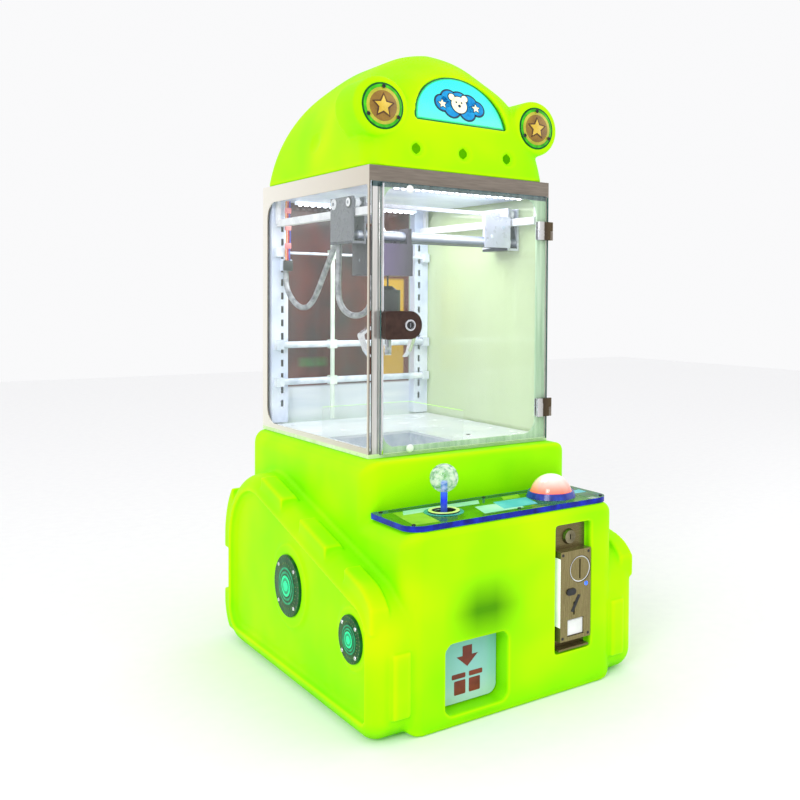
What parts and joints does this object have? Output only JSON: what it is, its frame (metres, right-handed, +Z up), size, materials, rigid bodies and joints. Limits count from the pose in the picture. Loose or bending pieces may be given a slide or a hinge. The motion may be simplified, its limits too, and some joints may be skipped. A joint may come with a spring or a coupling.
{
  "type": "claw crane machine",
  "caption": "Tabletop claw crane machine: lime moulded base with track pods, glass prize cabinet with gantry and claw, joystick deck, coin slot, prize flap and domed hood.",
  "frame": {"origin": "on the floor under the middle of the machine's outline", "axes": "+X to the machine's right seen from the front, +Y to the back, +Z up"},
  "size_m": [0.478, 0.561, 0.992],
  "materials": {
    "lime_shell": "gloss",
    "hood_plastic": "gloss",
    "beige_steel": "satin",
    "dark_steel": "satin",
    "clear_glass": "polished",
    "mirror": "polished",
    "post_steel": "satin",
    "rail_steel": "brushed",
    "white_laminate": "gloss",
    "duct_steel": "satin",
    "bronze_clamp": "gloss",
    "chrome": "polished",
    "black_plastic": "matte",
    "purple_case": "gloss",
    "white_plastic": "satin",
    "claw_metal": "brushed",
    "cord": "matte",
    "conduit": "matte",
    "stainless": "brushed",
    "reject_plastic": "gloss",
    "clear_deck": "gloss",
    "stick_steel": "polished",
    "crystal": "polished",
    "button_dome": "gloss",
    "clear_flap": "polished",
    "door_plastic": "satin",
    "marquee": "gloss",
    "lamp_lens": "gloss",
    "pod_lens": "gloss",
    "led": "satin"
  },
  "bodies": {
    "machine": {"back_mirror": "mirror", "back_rails": "rail_steel", "base_shell": "lime_shell", "bridge_conduit": "conduit", "button_bezel": "black_plastic", "cabinet_bottom_frame": "dark_steel", "cabinet_top_frame": "beige_steel", "chute_guard": "clear_glass", "coin_acceptor": "stainless", "coin_box": "rail_steel", "coin_plate": "stainless", "control_unit": "black_plastic", "cover_screws": "black_plastic", "deck_panel": "clear_deck", "front_frame": "dark_steel", "gantry_rail_left": "post_steel", "gantry_rail_right": "post_steel", "hood_shell": "hood_plastic", "joystick_housing": "black_plastic", "led_strips": "led", "marquee_lens": "marquee", "power_inlet": "black_plastic", "prize_chute": "duct_steel", "prize_floor": "white_laminate", "rear_post_left": "post_steel", "rear_post_right": "post_steel", "side_frame_left": "beige_steel", "side_frame_right": "beige_steel", "side_glass_left": "clear_glass", "side_glass_right": "clear_glass", "star_lamp_left": "lamp_lens", "star_lamp_right": "lamp_lens", "track_lamp_left_front": "pod_lens", "track_lamp_left_rear": "pod_lens", "track_lamp_right_front": "pod_lens", "track_lamp_right_rear": "pod_lens"},
    "door": {"door_glass": "clear_glass", "door_hinge_clamps": "bronze_clamp", "door_lock_plate": "bronze_clamp"},
    "door_lock": {"door_lock_core": "chrome"},
    "bridge": {"bridge_frame": "rail_steel", "trolley_conduit": "conduit"},
    "drive_wheels": {"bridge_wheels": "black_plastic"},
    "trolley": {"trolley_case": "purple_case", "trolley_motor": "white_plastic"},
    "reel": {"winch_reel": "white_plastic"},
    "claw": {"claw_body": "claw_metal", "hoist_cord": "cord"},
    "finger_a": {"claw_finger_a": "chrome"},
    "finger_b": {"claw_finger_b": "chrome"},
    "finger_c": {"claw_finger_c": "chrome"},
    "gimbal": {"joystick_gimbal": "black_plastic"},
    "stick": {"joystick_shaft": "stick_steel", "joystick_ball": "crystal"},
    "button": {"drop_button": "button_dome"},
    "coin_lock": {"coin_lock_core": "chrome"},
    "reject_button": {"coin_reject_button": "reject_plastic"},
    "coin_flap": {"coin_return_flap": "white_plastic"},
    "outlet_flap": {"prize_flap": "clear_flap"},
    "rear_door": {"service_door": "door_plastic"}
  },
  "joints": [
    {"name": "door_swing", "type": "hinge", "parent": "machine", "child": "door", "pos_m": [0.166, -0.132, 0.56], "axis": [0, 0, 1], "range_deg": [0, 100]},
    {"name": "door_lock_turn", "type": "hinge", "parent": "door", "child": "door_lock", "pos_m": [-0.108, -0.132, 0.553], "axis": [0, 1, 0], "range_deg": [0, 90]},
    {"name": "bridge_travel", "type": "slide", "parent": "machine", "child": "bridge", "axis": [0, 1, 0], "range_m": [-0.04, 0.19], "deforming": ["bridge_conduit"]},
    {"name": "drive_wheel_roll", "type": "hinge", "parent": "bridge", "child": "drive_wheels", "pos_m": [0, -0.042, 0.739], "axis": [1, 0, 0], "range_deg": [-1300, 350]},
    {"name": "trolley_travel", "type": "slide", "parent": "bridge", "child": "trolley", "axis": [1, 0, 0], "range_m": [-0.006, 0.18], "deforming": ["trolley_conduit"]},
    {"name": "reel_turn", "type": "hinge", "parent": "trolley", "child": "reel", "pos_m": [-0.082, -0.016, 0.652], "axis": [1, 0, 0], "range_deg": [0, 380]},
    {"name": "claw_hoist", "type": "slide", "parent": "trolley", "child": "claw", "axis": [0, 0, -1], "range_m": [0, 0.075], "deforming": ["hoist_cord"]},
    {"name": "finger_a_swing", "type": "hinge", "parent": "claw", "child": "finger_a", "pos_m": [-0.102, -0.028, 0.559], "axis": [0, -1, 0], "range_deg": [-18, 22]},
    {"name": "finger_b_swing", "type": "hinge", "parent": "claw", "child": "finger_b", "pos_m": [-0.072, -0.04532, 0.559], "axis": [0.866, 0.5, 0], "range_deg": [-18, 22]},
    {"name": "finger_c_swing", "type": "hinge", "parent": "claw", "child": "finger_c", "pos_m": [-0.072, -0.01068, 0.559], "axis": [-0.866, 0.5, 0], "range_deg": [-18, 22]},
    {"name": "stick_side", "type": "hinge", "parent": "machine", "child": "gimbal", "pos_m": [-0.092, -0.215, 0.252], "axis": [0, 1, 0], "range_deg": [-12, 12], "stiffness_Nm_per_rad": 1.2},
    {"name": "stick_fore", "type": "hinge", "parent": "gimbal", "child": "stick", "pos_m": [-0.092, -0.215, 0.252], "axis": [-1, 0, 0], "range_deg": [-12, 12], "stiffness_Nm_per_rad": 1.2},
    {"name": "button_press", "type": "slide", "parent": "machine", "child": "button", "axis": [0, 0, -1], "range_m": [0, 0.003], "stiffness_N_per_m": 600, "springref_m": -0.004},
    {"name": "coin_lock_turn", "type": "hinge", "parent": "machine", "child": "coin_lock", "pos_m": [0.102, -0.262, 0.232], "axis": [0, 1, 0], "range_deg": [0, 90]},
    {"name": "reject_press", "type": "slide", "parent": "machine", "child": "reject_button", "axis": [0, 1, 0], "range_m": [0, 0.003], "stiffness_N_per_m": 300, "springref_m": -0.001},
    {"name": "coin_flap_swing", "type": "hinge", "parent": "machine", "child": "coin_flap", "pos_m": [0.104, -0.275, 0.107], "axis": [1, 0, 0], "range_deg": [0, 50]},
    {"name": "outlet_flap_swing", "type": "hinge", "parent": "machine", "child": "outlet_flap", "pos_m": [-0.072, -0.246, 0.112], "axis": [1, 0, 0], "range_deg": [0, 60]},
    {"name": "rear_door_swing", "type": "hinge", "parent": "machine", "child": "rear_door", "pos_m": [-0.108, 0.278, 0.18], "axis": [0, 0, 1], "range_deg": [0, 110]}
  ],
  "couplings": [
    {"joint": "drive_wheel_roll", "follows": "bridge_travel", "rad_per_m": -113.64},
    {"joint": "reel_turn", "follows": "claw_hoist", "rad_per_m": 83.33},
    {"joint": "finger_b_swing", "follows": "finger_a_swing", "ratio": 1},
    {"joint": "finger_c_swing", "follows": "finger_a_swing", "ratio": 1}
  ]
}
